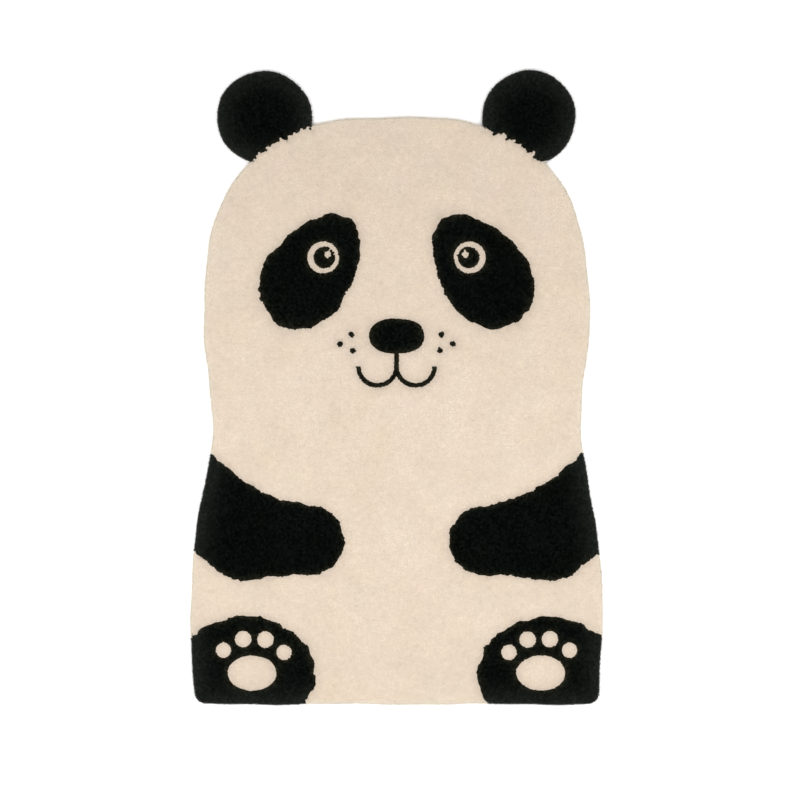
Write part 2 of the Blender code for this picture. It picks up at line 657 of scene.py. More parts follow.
class Graph:
    """Adds nodes to one node tree."""

    def __init__(self, tree: bpy.types.NodeTree) -> None:
        """Adds to a tree."""
        self.tree = tree

    @staticmethod
    def find(sockets: Any, key: int | str) -> bpy.types.NodeSocket:
        """Finds a socket among those in use.

        Args:
            sockets: a node's inputs or outputs.
            key: its name, or its place among them.

        Returns:
            The socket.
        """
        used = [socket for socket in sockets if socket.enabled]
        if isinstance(key, int):
            return used[key]
        return next(socket for socket in used if socket.name == key)

    def add(
        self,
        kind: str,
        settings: dict[str, Any] | None = None,
        sockets: dict[int | str, Any] | None = None,
    ) -> Term:
        """Adds a node.

        Args:
            kind: the node's type.
            settings: its own settings, which are set first.
            sockets: what goes into its inputs, values or terms, by name or place.

        Returns:
            Its first output.
        """
        node = self.tree.nodes.new(kind)
        for name, value in (settings or {}).items():
            setattr(node, name, value)
        for key, value in (sockets or {}).items():
            self.put(self.find(node.inputs, key), value)
        return Term(self, self.find(node.outputs, 0) if node.outputs else None)

    def put(self, socket: bpy.types.NodeSocket, value: Any) -> None:
        """Fills a socket.

        Args:
            socket: an input of a node.
            value: a term, which is linked to it, or a plain value.
        """
        if isinstance(value, Term):
            self.tree.links.new(value.socket, socket)
        else:
            socket.default_value = value

    def vector(self, operation: str, sockets: dict[int | str, Any]) -> Term:
        """The result of a Vector Math node."""
        return self.add("ShaderNodeVectorMath", {"operation": operation}, sockets)

    def scaled(self, vector: Term, share: Any) -> Term:
        """A colour or a vector times a number."""
        return self.vector("SCALE", {0: vector, "Scale": share})


class Coat(Graph):
    """The node tree of a new material with one Principled shader."""

    def __init__(self, name: str) -> None:
        """Makes the material.

        Args:
            name: its name.
        """
        self.material = bpy.data.materials.new(name)
        self.material.use_nodes = True
        super().__init__(self.material.node_tree)
        self.shader = self.tree.nodes["Principled BSDF"]

    def place(self) -> Term:
        """Where a point is, in the rug's frame."""
        return self.add("ShaderNodeTexCoord").other("Object")

    def given(self, name: str) -> Term:
        """A number that a piece's points carry, or 0 on a piece whose points carry none."""
        return self.add("ShaderNodeAttribute", {"attribute_name": name}).other("Fac")

    def noise(self, place: Term, scale: float, detail: float) -> Term:
        """Soft noise around 0.5."""
        sockets = {"Vector": place, "Scale": scale, "Detail": detail}
        return self.add("ShaderNodeTexNoise", sockets=sockets)

    def mixed(self, share: Term, first: Any, second: Any) -> Term:
        """Mixes two colours, each a term or linear red, green and blue.

        Args:
            share: how much of the second there is.
            first: the colour where share is 0.
            second: the colour where share is 1.

        Returns:
            The mix.
        """
        ends = [end if isinstance(end, Term) else (*end, 1.0) for end in (first, second)]
        sockets = {"Factor": share, "A": ends[0], "B": ends[1]}
        return self.add("ShaderNodeMix", {"data_type": "RGBA"}, sockets)

    def softened(self, share: float) -> Term:
        """Evens out the light, as a deep pile does.

        Args:
            share: how far the normal is turned up where it looks up.

        Returns:
            The turned normal.
        """
        normal = self.add("ShaderNodeNewGeometry").other("Normal")
        height = self.add("ShaderNodeSeparateXYZ", sockets={0: normal}).other("Z")
        lift = height.at_least(0.0) * share
        raised = self.add("ShaderNodeCombineXYZ", sockets={2: lift})
        turned = self.vector("ADD", {0: self.scaled(normal, 1 - lift), 1: raised})
        return self.vector("NORMALIZE", {0: turned})

    def wear(self, looks: dict[str, Any]) -> None:
        """Sets the shader's inputs, by their names, to terms or numbers."""
        for name, value in looks.items():
            self.put(self.shader.inputs[name], value)


class Draw(IntEnum):
    """What is drawn at random for each yarn, which is added to the seed."""

    SHADE = 1
    FORM = 2
    SWING = 3
    SPIN = 4
    RADIUS = 5


class Planting(Graph):
    """A Geometry Nodes tree with named inputs, which is run on an object once.

    spent names the attributes that only the tree needs, which its result goes without.
    """

    spent: tuple[str, ...] = ()

    def __init__(self, name: str, inputs: dict[str, str]) -> None:
        """Makes the tree.

        Args:
            name: its name.
            inputs: the kind of each of its inputs, by their names.
        """
        super().__init__(bpy.data.node_groups.new(name, "GeometryNodeTree"))
        sockets = self.tree.interface
        for title, kind in {"Geometry": "Geometry", **inputs}.items():
            sockets.new_socket(title, in_out="INPUT", socket_type="NodeSocket" + kind)
        sockets.new_socket("Geometry", in_out="OUTPUT", socket_type="NodeSocketGeometry")
        self.source = self.add("NodeGroupInput")

    def given(self, title: str) -> Term:
        """One of the tree's inputs."""
        return self.source.other(title)

    def attribute(self, name: str, kind: str) -> Term:
        """A named attribute of the points."""
        return self.add("GeometryNodeInputNamedAttribute", {"data_type": kind}, {"Name": name})

    def marked(self, points: Term, name: str, kind: str, value: Term) -> Term:
        """Adds a named attribute to points.

        Args:
            points: the points.
            name: the attribute's name.
            kind: its type.
            value: what it holds.

        Returns:
            The points with it.
        """
        sockets = {"Geometry": points, "Name": name, "Value": value}
        settings = {"data_type": kind, "domain": "POINT"}
        return self.add("GeometryNodeStoreNamedAttribute", settings, sockets)

    def chance(self, low: Any, high: Any, draw: Draw, kind: str = "FLOAT") -> Term:
        """Draws a value for each point.

        Args:
            low: the least that it can be.
            high: the most that it can be.
            draw: what it is drawn for, which is added to the tree's seed.
            kind: its type.

        Returns:
            The value.
        """
        sockets = {"Min": low, "Max": high, "Seed": self.given("Seed") + draw.value}
        return self.add("FunctionNodeRandomValue", {"data_type": kind}, sockets)

    def end(self, geometry_term: Term) -> None:
        """Makes a term the tree's result."""
        self.add("NodeGroupOutput", sockets={"Geometry": geometry_term})

    def grow(self, base: bpy.types.Object, values: dict[str, Any]) -> bpy.types.Mesh:
        """Runs the tree on an object.

        Args:
            base: the object, which is left as it was.
            values: what goes into the tree's inputs, by their names.

        Returns:
            The result as a plain mesh.
        """
        modifier = base.modifiers.new(self.tree.name, "NODES")
        modifier.node_group = self.tree
        for item in self.tree.interface.items_tree:
            if item.in_out == "INPUT" and item.name in values:
                modifier[item.identifier] = values[item.name]
        base.update_tag()
        evaluated = bpy.context.evaluated_depsgraph_get()
        mesh = bpy.data.meshes.new_from_object(
            base.evaluated_get(evaluated), preserve_all_data_layers=True, depsgraph=evaluated
        )
        base.modifiers.remove(modifier)
        for name in self.spent:
            if name in mesh.attributes:
                mesh.attributes.remove(mesh.attributes[name])
        return mesh


class Scatter(Planting):
    """Finds an even but unordered place for each tuft on the upper faces of a bed."""

    def __init__(self) -> None:
        """Makes the tree."""
        inputs = {"Spacing": "Float", "Most": "Float", "Level": "Float", "Seed": "Int"}
        super().__init__("tuft_places", inputs)
        normal = self.add("GeometryNodeInputNormal")
        upward = self.add("ShaderNodeSeparateXYZ", sockets={0: normal}).other("Z")
        points = self.add(
            "GeometryNodeDistributePointsOnFaces",
            {"distribute_method": "POISSON"},
            {
                "Mesh": self.given("Geometry"),
                "Selection": upward > self.given("Level"),
                "Distance Min": self.given("Spacing"),
                "Density Max": self.given("Most"),
                "Seed": self.given("Seed"),
            },
        )
        kept = self.marked(points, "bed_normal", "FLOAT_VECTOR", points.other("Normal"))
        self.end(self.add("GeometryNodePointsToVertices", sockets={0: kept}))


class Tufting(Planting):
    """Stands a yarn on each point of one patch, each its own size, turn, tilt and shade."""

    spent = ("bed_normal", "lean", "patch", "reach")

    def __init__(self, name: str, along_loops: bool) -> None:
        """Makes the tree.

        Args:
            name: its name.
            along_loops: whether it spaces the yarns along loops, not one to each given point.
        """
        inputs = {
            "Yarns": "Collection",
            "Patch": "Int",
            "Spacing": "Float",
            "Radius": "Float",
            "Uneven": "Float",
            "Tilt": "Float",
            "Wool": "Material",
            "Seed": "Int",
        }
        super().__init__(name, inputs)
        points = self.along_loops() if along_loops else self.at_points()
        shaded = self.marked(points, "shade", "FLOAT", self.chance(0.0, 1.0, Draw.SHADE))
        here = self.add(
            "FunctionNodeCompare",
            {"data_type": "INT", "operation": "EQUAL"},
            {"A": self.attribute("patch", "INT"), "B": self.given("Patch")},
        )
        yarns = {"Collection": self.given("Yarns"), "Separate Children": True}
        stood = self.add(
            "GeometryNodeInstanceOnPoints",
            sockets={
                "Points": shaded,
                "Selection": here,
                "Instance": self.add("GeometryNodeCollectionInfo", sockets=yarns),
                "Pick Instance": True,
                "Instance Index": self.chance(0, len(YARN_SEEDS) - 1, Draw.FORM, "INT"),
                "Rotation": self.turned(),
                "Scale": self.sized(),
            },
        )
        real = self.add("GeometryNodeRealizeInstances", sockets={0: stood})
        dressed = {"Geometry": real, "Material": self.given("Wool")}
        self.end(self.add("GeometryNodeSetMaterial", sockets=dressed))

    def at_points(self) -> Term:
        """One point for each that is given."""
        return self.add("GeometryNodeMeshToPoints", sockets={"Mesh": self.given("Geometry")})

    def along_loops(self) -> Term:
        """Spaces points evenly along the given loops.

        Returns:
            The points.
        """
        loops = self.add("GeometryNodeMeshToCurve", sockets={0: self.given("Geometry")})
        sockets = {"Curve": loops, "Length": self.given("Spacing")}
        return self.add("GeometryNodeResampleCurve", {"mode": "LENGTH"}, sockets)

    def turned(self) -> Term:
        """Turns each yarn along its own lean, tilts it a little, and spins it about itself.

        Returns:
            The yarns' rotations.
        """
        least = tuple(-most for most in SWING)
        swing = self.chance(least, SWING, Draw.SWING, "FLOAT_VECTOR")
        tilt = self.scaled(swing, self.given("Tilt"))
        way = self.vector("ADD", {0: self.attribute("lean", "FLOAT_VECTOR"), 1: tilt})
        stood = self.add("FunctionNodeAlignRotationToVector", {"axis": "Z"}, {"Vector": way})
        turn = {"Axis": (0.0, 0.0, 1.0), "Angle": self.chance(0.0, 2 * pi, Draw.SPIN)}
        spin = self.add("FunctionNodeAxisAngleToRotation", sockets=turn)
        sockets = {"Rotation": stood, "Rotate By": spin}
        return self.add("FunctionNodeRotateRotation", {"rotation_space": "LOCAL"}, sockets)

    def sized(self) -> Term:
        """Sizes each yarn: its radius, and its reach from root to tip.

        Returns:
            The yarns' scales.
        """
        odds = self.chance(-1.0, 1.0, Draw.RADIUS)
        radius = self.given("Radius") * (1 + self.given("Uneven") * odds)
        reach = self.attribute("reach", "FLOAT")
        return self.add("ShaderNodeCombineXYZ", sockets={0: radius, 1: radius, 2: reach})


# ---------------------------------------------------------------- yarns


class YarnRing(NamedTuple):
    """One ring of a cut yarn's outline, as shares of its reach and its radius."""

    height: float
    radius: float


@dataclass(frozen=True)
class YarnForm:
    """A cut yarn of unit reach and radius, closed, domed and a little uneven.

    foot is the height of its lower end, rings are its rings from the lowest up, and share is
    how much of the pile's height it reaches through.
    """

    name: str
    foot: float
    rings: tuple[YarnRing, ...]
    share: float
    sides: int = 5
    roughness: float = 0.17
    crease: float = 75.0

    def build(self, title: str, seed: int) -> bpy.types.Mesh:
        """Makes one yarn.

        Args:
            title: the mesh's name.
            seed: what its unevenness is drawn from.

        Returns:
            The mesh, with a tip attribute of 0 at the canvas and 1 at the cut end.
        """
        rng = np.random.default_rng(seed)
        turns = np.arange(self.sides) * 2 * pi / self.sides
        points = [(0.0, 0.0, self.foot)]
        for ring in self.rings:
            rough, skew = rng.uniform(-self.roughness, self.roughness, (2, self.sides))
            radius = ring.radius * (1 + rough)
            heights = np.full(self.sides, ring.height)
            points += zip(radius * np.cos(turns + skew), radius * np.sin(turns + skew), heights)
        points.append((0.0, 0.0, 1.0))
        faces = []
        for here in range(self.sides):
            there = (here + 1) % self.sides
            faces.append((0, there + 1, here + 1))
            for low in range(1, len(points) - 1 - self.sides, self.sides):
                high = low + self.sides
                faces.append((low + here, low + there, high + there, high + here))
            top = len(points) - 1
            faces.append((top - self.sides + here, top - self.sides + there, top))
        mesh = bpy.data.meshes.new(title)
        mesh.from_pydata([tuple(map(float, point)) for point in points], [], faces)
        mesh.shade_smooth()
        mesh.set_sharp_from_angle(angle=radians(self.crease))
        store(mesh, {"tip": np.array([1 - self.share * (1 - point[2]) for point in points])})
        return mesh

    def box(self) -> bpy.types.Collection:
        """Makes yarns that differ a little.

        Returns:
            The collection that holds them, which isn't in the scene.
        """
        box = bpy.data.collections.new(self.name)
        for number, seed in enumerate(YARN_SEEDS):
            title = f"{self.name}_{number}"
            box.objects.link(bpy.data.objects.new(title, self.build(title, seed)))
        return box


def empty_box(box: bpy.types.Collection) -> None:
    """Removes a collection and the yarns in it.

    Args:
        box: the collection.
    """
    for yarn in list(box.objects):
        bpy.data.objects.remove(yarn)
    bpy.data.collections.remove(box)


@dataclass(frozen=True)
class Sowing:
    """How yarns of one form are set.

    spacing is how far apart they stand, uneven the share by which their radius differs, and
    tilt how far they lean at random, as a share of SWING.
    """

    title: str
    form: YarnForm
    spacing: float
    radius: float
    uneven: float
    tilt: float
    seed: int


YARN_SEEDS = (3, 5, 8, 13)  # one for each yarn of a form
SWING = (1.0, 1.0, 0.2)  # how far a yarn may lean along each axis, beside an upright of 1
TUFT = YarnForm("tuft", -0.9, (YarnRing(-0.35, 1.08), YarnRing(0.70, 0.60)), share=0.07)
RIM_YARN = YarnForm("rim_yarn", -0.02, (YarnRing(0.0, 0.85), YarnRing(0.88, 1.0)), share=1.0)
STRAY = YarnForm("stray", -0.02, (YarnRing(0.0, 1.0), YarnRing(0.65, 0.75)), share=1.0)
TUFTS = Sowing("tufts", TUFT, spacing=0.0036, radius=0.0028, uneven=0.18, tilt=0.05, seed=7)
RIM = Sowing("rim", RIM_YARN, spacing=0.0021, radius=0.0013, uneven=0.20, tilt=0.12, seed=21)
STRAYS = Sowing("strays", STRAY, spacing=0.0040, radius=0.00032, uneven=0.30, tilt=0.26, seed=34)


def plant(
    roots: bpy.types.Object,
    sowing: Sowing,
    patches: list[tuple[str, Wool]],
    wools: dict[Wool, bpy.types.Material],
) -> dict[Wool, list[bpy.types.Object]]:
    """Grows yarns on their roots, one patch after another, and removes the roots.

    Args:
        roots: points, or loops of points along which the yarns are spaced.
        sowing: how the yarns are set.
        patches: the name and the wool of each patch, in the order of the patches' numbers.
        wools: each wool's material.

    Returns:
        The pieces of each wool.
    """
    bpy.context.scene.collection.objects.link(roots)
    tufting = Tufting(sowing.title, along_loops=len(roots.data.edges) > 0)
    yarns = sowing.form.box()
    pieces = {wool: [] for wool in wools}
    for number, (name, wool) in enumerate(patches):
        values = {
            "Yarns": yarns,
            "Patch": number,
            "Spacing": sowing.spacing,
            "Radius": sowing.radius,
            "Uneven": sowing.uneven,
            "Tilt": sowing.tilt,
            "Wool": wools[wool],
            "Seed": sowing.seed,
        }
        pieces[wool].append(shown(name, tufting.grow(roots, values)))
    bpy.data.objects.remove(roots)
    empty_box(yarns)
    return pieces


# ---------------------------------------------------------------- finishes


@dataclass(frozen=True)
class WoolFinish:
    """Matt cut wool. Colours are linear.

    The tone drifts from colour to warm and grey over a hand's width. strayed_and_shaded is its
    tone beside the other wool: fibres of that wool stray into it, and in the cream it is also
    painted shade, for the light that the black beside it takes. rim is its tone at the rug's
    rim, a painted highlight where the fibres open and catch the light, and backlit_tips is
    painted light at the tips of the outermost yarns, for the light that comes through them. The
    higher stray, fade and backlit_falloff are, the narrower these three.

    cloudy and mottled are the shares by which the tone changes over broad and small patches,
    uneven and fibre_speck those by which tufts and fibres differ, root how bright a yarn is at
    its root: painted shade, darker where the pile around it shades it, and rim_grain how much of
    these changes is left at the rim. softness is how much light goes into the pile rather than
    off its bumps. Fields whose names end in scale are how often a pattern changes in a metre,
    those that end in depth are lengths, and border_depth is how far from a border
    strayed_and_shaded reaches.
    """

    name: str
    colour: tuple[float, float, float]
    warm: tuple[float, float, float]
    grey: tuple[float, float, float]
    strayed_and_shaded: tuple[float, float, float]
    rim: tuple[float, float, float]
    backlit_tips: tuple[float, float, float]
    stray: float
    fade: float
    cloudy: float
    mottled: float
    uneven: float
    root: float
    sheen: float
    shine: float
    mottle_scale: float = 110.0
    cloud_scale: float = 12.0
    drift_scale: float = 20.0
    other_drift_scale: float = 13.0
    border_depth: float = 0.045
    ply_scale: float = 650.0
    ply_depth: float = 0.0007
    fibre_scale: float = 2200.0
    fibre_depth: float = 0.0006
    fibre_speck: float = 0.60
    speck_scale: float = 2600.0
    softness: float = 0.6
    bump_strength: float = 0.6
    grey_share: float = 0.8
    backlit_falloff: float = 3.0
    rim_grain: float = 0.5
    sheen_roughness: float = 0.6

    def tone(self, graph: Graph, place: Term, bright: Any) -> Term:
        """Works the wool's colour out.

        Args:
            graph: the material's nodes.
            place: where a point is.
            bright: how bright it is there, around 1.

        Returns:
            The colour.
        """
        drift = graph.noise(place, self.drift_scale, detail=4.0)
        other_drift = graph.noise(place, self.other_drift_scale, detail=4.0)
        warmed = graph.mixed(drift, self.colour, self.warm)
        toned = graph.mixed(other_drift * self.grey_share, warmed, self.grey)
        # Beside the other wool: its stray fibres, and in the cream also painted shade where the
        # black takes the light.
        apart = graph.given("black_distance").magnitude() * (1 / self.border_depth)
        beside = (1 - apart).at_least(0.0) ** self.stray
        bordered = graph.scaled(graph.mixed(beside, toned, self.strayed_and_shaded), bright)
        # Painted highlight: the rim is lighter, where its open fibres catch the light.
        rim = graph.scaled(self.rim, 1 - self.rim_grain + self.rim_grain * bright)
        rim_highlighted = graph.mixed(graph.given("edge") ** self.fade, bordered, rim)
        # Painted light at the tips of the outermost yarns, for the light that shines through them.
        thin = graph.given("outmost") * graph.given("tip") ** self.backlit_falloff
        return graph.mixed(thin, rim_highlighted, self.backlit_tips)

    def mottle(self, graph: Graph, place: Term) -> Term:
        """Varies the wool from one patch to the next.

        Args:
            graph: the material's nodes.
            place: where a point is.

        Returns:
            How bright it is, around 1.
        """
        clouds = self.cloudy * (graph.noise(place, self.cloud_scale, detail=4.0) - 0.5)
        mottling = graph.noise(place, self.mottle_scale, detail=3.0)
        return 1 + clouds + self.mottled * (mottling - 0.5)

    def relief(self, graph: Graph, place: Term) -> Term:
        """Lays the bumps of plies and, on them, fibres on a surface that light goes into.

        Args:
            graph: the material's nodes.
            place: where a point is.

        Returns:
            The normal.
        """
        found = graph.softened(self.softness)
        plies = (self.ply_scale, self.ply_depth)
        fibres = (self.fibre_scale, self.fibre_depth)
        for scale, depth in (plies, fibres):
            sockets = {
                "Strength": self.bump_strength,
                "Distance": depth,
                "Height": graph.noise(place, scale, detail=2.0),
                "Normal": found,
            }
            found = graph.add("ShaderNodeBump", sockets=sockets)
        return found

    def build(self) -> bpy.types.Material:
        """Makes the material.

        Returns:
            The material.
        """
        graph = Coat(self.name)
        place = graph.place()
        tuft = 1 + self.uneven * (graph.given("shade") - 0.5)
        # Painted shade: each yarn is darker towards its root, where the pile around it shades it.
        depth = self.root + (1 - self.root) * graph.given("tip")
        specks = graph.noise(place, self.speck_scale, detail=2.0)
        fibres = 1 + self.fibre_speck * (specks - 0.5)
        bright = tuft * depth * fibres * self.mottle(graph, place)
        graph.wear(
            {
                "Base Color": self.tone(graph, place, bright),
                "Normal": self.relief(graph, place),
                "Roughness": 1.0,
                "Specular IOR Level": self.shine,
                "Sheen Weight": self.sheen,
                "Sheen Roughness": self.sheen_roughness,
            }
        )
        return graph.material


CREAM_WOOL = WoolFinish(
    name="cream_wool",
    colour=(0.710, 0.600, 0.426),
    warm=(0.729, 0.566, 0.475),
    grey=(0.650, 0.578, 0.492),
    strayed_and_shaded=(0.546, 0.458, 0.372),
    rim=(0.745, 0.660, 0.540),
    backlit_tips=(0.765, 0.700, 0.600),
    stray=6.0,
    fade=12.0,
    cloudy=0.25,
    mottled=0.26,
    uneven=0.06,
    root=0.84,
    sheen=0.10,
    shine=0.1,
)
BLACK_WOOL = WoolFinish(
    name="black_wool",
    colour=(0.0009, 0.0018, 0.0023),
    warm=(0.0030, 0.0030, 0.0014),
    grey=(0.0024, 0.0039, 0.0036),
    strayed_and_shaded=(0.0150, 0.0145, 0.0085),
    rim=(0.0135, 0.0150, 0.0125),
    backlit_tips=(0.0650, 0.0650, 0.0580),
    stray=9.0,
    fade=2.2,
    cloudy=0.4,
    mottled=1.9,
    mottle_scale=200.0,
    uneven=1.4,
    root=0.4,
    sheen=0.008,
    shine=0.0,
)


@dataclass(frozen=True)
class LowerPileFinish:
    """The pile between and below the tufts, in the wool of the design above it.

    Its tone is a little darker: painted shade from the tufts over it.
    """

    cream: WoolFinish
    black: WoolFinish
    name: str = "lower_pile"
    shade_under_tufts: float = 0.97

    def build(self) -> bpy.types.Material:
        """Makes the material.

        Returns:
            The material.
        """
        graph = Coat(self.name)
        place = graph.place()
        # Painted shade: the pile under the tufts is a little darker than they are.
        tones = [wool.tone(graph, place, self.shade_under_tufts) for wool in (self.black, self.cream)]
        tone = graph.mixed(graph.given("black_distance") > 0.0, *tones)
        graph.wear(
            {
                "Base Color": tone,
                "Normal": self.cream.relief(graph, place),
                "Roughness": 1.0,
                "Specular IOR Level": self.black.shine,
            }
        )
        return graph.material


@dataclass(frozen=True)
class CanvasFinish:
    """Unbleached cotton canvas in plain weave.

    pitch is how far apart its threads are, depth how deep the weave is, and weave_share how
    much of its tone comes from the weave rather than from uneven threads.
    """

    name: str = "backing_canvas"
    thread: tuple[float, float, float] = (0.54, 0.47, 0.36)
    gap: tuple[float, float, float] = (0.36, 0.30, 0.22)
    pitch: float = 0.0011
    depth: float = 0.0002
    weave_share: float = 0.6
    slub_scale: float = 60.0
    bump_strength: float = 0.6
    roughness: float = 0.9

    def build(self) -> bpy.types.Material:
        """Makes the material.

        Returns:
            The material.
        """
        graph = Coat(self.name)
        place = graph.place()
        apart = graph.add("ShaderNodeSeparateXYZ", sockets={0: place})
        across = apart.other("X") * (pi / self.pitch)
        along = apart.other("Y") * (pi / self.pitch)
        weave = 0.5 + 0.5 * across.sine() * along.sine()
        slub = graph.noise(place, self.slub_scale, detail=4.0)
        tone = weave * self.weave_share + slub * (1 - self.weave_share)
        sockets = {"Strength": self.bump_strength, "Distance": self.depth, "Height": weave}
        graph.wear(
            {
                "Base Color": graph.mixed(tone, self.gap, self.thread),
                "Normal": graph.add("ShaderNodeBump", sockets=sockets),
                "Roughness": self.roughness,
            }
        )
        return graph.material


# ---------------------------------------------------------------- the rug


PART_NAMES = {Wool.CREAM: "ground", Wool.BLACK: "markings"}


@dataclass
class Canvas:
    """The backing canvas: a thin slab whose rim is turned under, so that it rests on its hem."""

    outline: Outline
    thickness: float = 0.0025
    rounding: float = 0.0004
    hem_width: float = 0.015
    hem_step: float = 0.0005
    crease: float = 35.0

    def build(self) -> bpy.types.Object:
        """Makes the canvas.

        Returns:
            The piece.
        """
        edge = self.outline.setback
        levels = (
            (edge + self.hem_width + self.hem_step, self.hem_step),
            (edge + self.hem_width, 0.0),
            (edge + self.rounding, 0.0),
            (edge, self.rounding),
            (edge, self.thickness),
        )
        rings = [at_height(self.outline.inset(depth), height) for depth, height in levels]
        none = np.empty((0, 2))
        mesh = stacked("canvas", rings, none, none)
        mesh.set_sharp_from_angle(angle=radians(self.crease))
        mesh.materials.append(CanvasFinish().build())
        return shown("canvas", mesh)


@dataclass
class LowerPile:
    """The dense lower pile, a cushion on the canvas that carries the tufts' cut ends.

    sunk is how much of the canvas's thickness lies below it, and row_share how far apart the
    rows of its grid are, as a share of the grid.
    """

    outline: Outline
    design: Design
    canvas_thickness: float
    tuft_reach: float
    side_inset: float = 0.0022
    shoulder_in: float = 0.0050
    spring: float = 0.0048
    shoulder_steps: int = 4
    sunk: float = 0.8
    grid: float = 0.008
    row_share: float = 0.87
    swell: float = 0.0004
    swell_length: float = 0.055

    @property
    def top(self) -> float:
        """The height of the bed that the tufts stand on."""
        return self.outline.thickness - self.tuft_reach

    def rings(self) -> list[np.ndarray]:
        """Draws the rim of the bed, from the canvas up over its rounded shoulder.

        Returns:
            Its rings, the lowest first.
        """
        levels = [(self.side_inset, self.canvas_thickness * self.sunk)]
        for step in range(self.shoulder_steps + 1):
            turn = pi / 2 * step / self.shoulder_steps
            levels.append(
                (
                    self.side_inset + self.shoulder_in * (1 - cos(turn)),
                    self.spring + (self.top - self.spring) * sin(turn),
                )
            )
        return [at_height(self.outline.inset(depth), height) for depth, height in levels]

    def inner_points(self, ring: np.ndarray) -> np.ndarray:
        """Spreads points inside a ring, in staggered rows.

        Args:
            ring: the ring's points.

        Returns:
            Rows of x and y.
        """
        low, high = ring.min(axis=0), ring.max(axis=0)
        rows = np.arange(low[1], high[1], self.grid * self.row_share)
        grid = [
            (x + (number % 2) * self.grid / 2, y)
            for number, y in enumerate(rows)
            for x in np.arange(low[0], high[0], self.grid)
        ]
        places = np.array(grid)
        margin = self.side_inset + self.shoulder_in + self.grid / 2
        clear = self.outline.nearest(places)[0] > margin
        return places[clear & self.outline.inside(places, ring)]

    def build(self) -> bpy.types.Object:
        """Makes the bed, with the design's distances on its points.

        Returns:
            The piece.
        """
        rings = self.rings()
        inner = self.inner_points(rings[-1][:, :2])
        mesh = stacked("lower_pile", rings, inner, np.empty((0, 2)))
        for vertex in mesh.vertices:
            if vertex.co.z > self.top - WELD:
                vertex.co.z += self.swell * noise.noise(vertex.co / self.swell_length)
        places = corners_of(mesh)[0][:, :2]
        away = self.design.black_distance(places)
        edge = edge_share(self.outline.nearest(places)[0])
        store(mesh, {"black_distance": away, "edge": edge})
        mesh.materials.append(LowerPileFinish(CREAM_WOOL, BLACK_WOOL).build())
        return shown("lower_pile", mesh)


@dataclass
class Pile:
    """The cut tufts, planted on the bed and parted into patches of one wool.

    most is how many tufts a square metre may have at most, level how much the bed has to look
    up to carry any, and shear how unevenly they are shorn. upright is how much they stand up
    where the bed slopes, and lean_out how far they lean out at the rim, from lean_depth inwards.
    """

    outline: Outline
    design: Design
    bed: bpy.types.Object
    reach: float
    sowing: Sowing = TUFTS
    most: float = 600000.0
    level: float = 0.25
    shear: float = 0.00015
    border_gap: float = 0.0018
    upright: float = 0.5
    lean_out: float = 0.35
    lean_depth: float = 0.012
    patches: dict[Wool, int] = field(default_factory=lambda: {Wool.CREAM: 4, Wool.BLACK: 2})

    def places(self) -> bpy.types.Object:
        """Finds a place for each tuft.

        Returns:
            The roots, with each tuft's lean, reach and patch.
        """
        values = {
            "Spacing": self.sowing.spacing,
            "Most": self.most,
            "Level": self.level,
            "Seed": self.sowing.seed,
        }
        mesh = Scatter().grow(self.bed, values)
        points, _ = corners_of(mesh)
        points[:, :2] = self.design.cleared(points[:, :2], self.border_gap)
        self.settle(points)
        mesh.vertices.foreach_set("co", points.ravel())
        normals = np.empty(len(points) * 3, np.float32)
        mesh.attributes["bed_normal"].data.foreach_get("vector", normals)
        depth, way = self.outline.nearest(points[:, :2])
        leaning = np.clip(1 - depth / self.lean_depth, 0, 1)
        lean = normals.reshape(-1, 3) * (1 - self.upright) + (0.0, 0.0, self.upright)
        lean[:, :2] += way * (self.lean_out * leaning)[:, None]
        rng = np.random.default_rng(self.sowing.seed)
        reach = self.reach + rng.normal(0.0, self.shear, len(points))
        away = self.design.black_distance(points[:, :2])
        patch = self.parted(points[:, 0], away)
        store(mesh, {"lean": lean, "reach": reach, "edge": edge_share(depth)})
        store(mesh, {"black_distance": away, "patch": patch})
        return bpy.data.objects.new("tuft_places", mesh)

    def settle(self, points: np.ndarray) -> None:
        """Sets the heights of points to the bed's height there.

        Args:
            points: rows of x, y and z.
        """
        above = self.outline.thickness * 2
        for point in points:
            hit, place, _, _ = self.bed.ray_cast((point[0], point[1], above), (0.0, 0.0, -1.0))
            if hit:
                point[2] = place.z

    def parted(self, across: np.ndarray, away: np.ndarray) -> np.ndarray:
        """Parts the tufts into strips from left to right, first the cream ones, then the black.

        Args:
            across: the x of each tuft.
            away: its distance from the black wool.

        Returns:
            The number of each tuft's strip.
        """
        numbers = np.zeros(len(across), np.int32)
        first = 0
        for wool, strips in self.patches.items():
            mine = (away < 0) == (wool is Wool.BLACK)
            cuts = np.quantile(across[mine], np.arange(1, strips) / strips)
            numbers[mine] = first + np.searchsorted(cuts, across[mine])
            first += strips
        return numbers

    def build(self, wools: dict[Wool, bpy.types.Material]) -> dict[Wool, list[bpy.types.Object]]:
        """Grows the tufts.

        Args:
            wools: each wool's material.

        Returns:
            The pieces of each wool.
        """
        patches = [
            (f"{PART_NAMES[wool]}_pile_{strip + 1}", wool)
            for wool, strips in self.patches.items()
            for strip in range(strips)
        ]
        pieces = plant(self.places(), self.sowing, patches, wools)
        for wool in wools:
            for piece in pieces[wool]:
                lay_bake_map(piece.data)
        return pieces


class RimRow(NamedTuple):
    """One row of the yarns along the rim, and how much painted light their tips get, for the light
    that comes through them.
    """

    root_inset: float
    tip_inset: float
    tip_height: float
    outmost: float


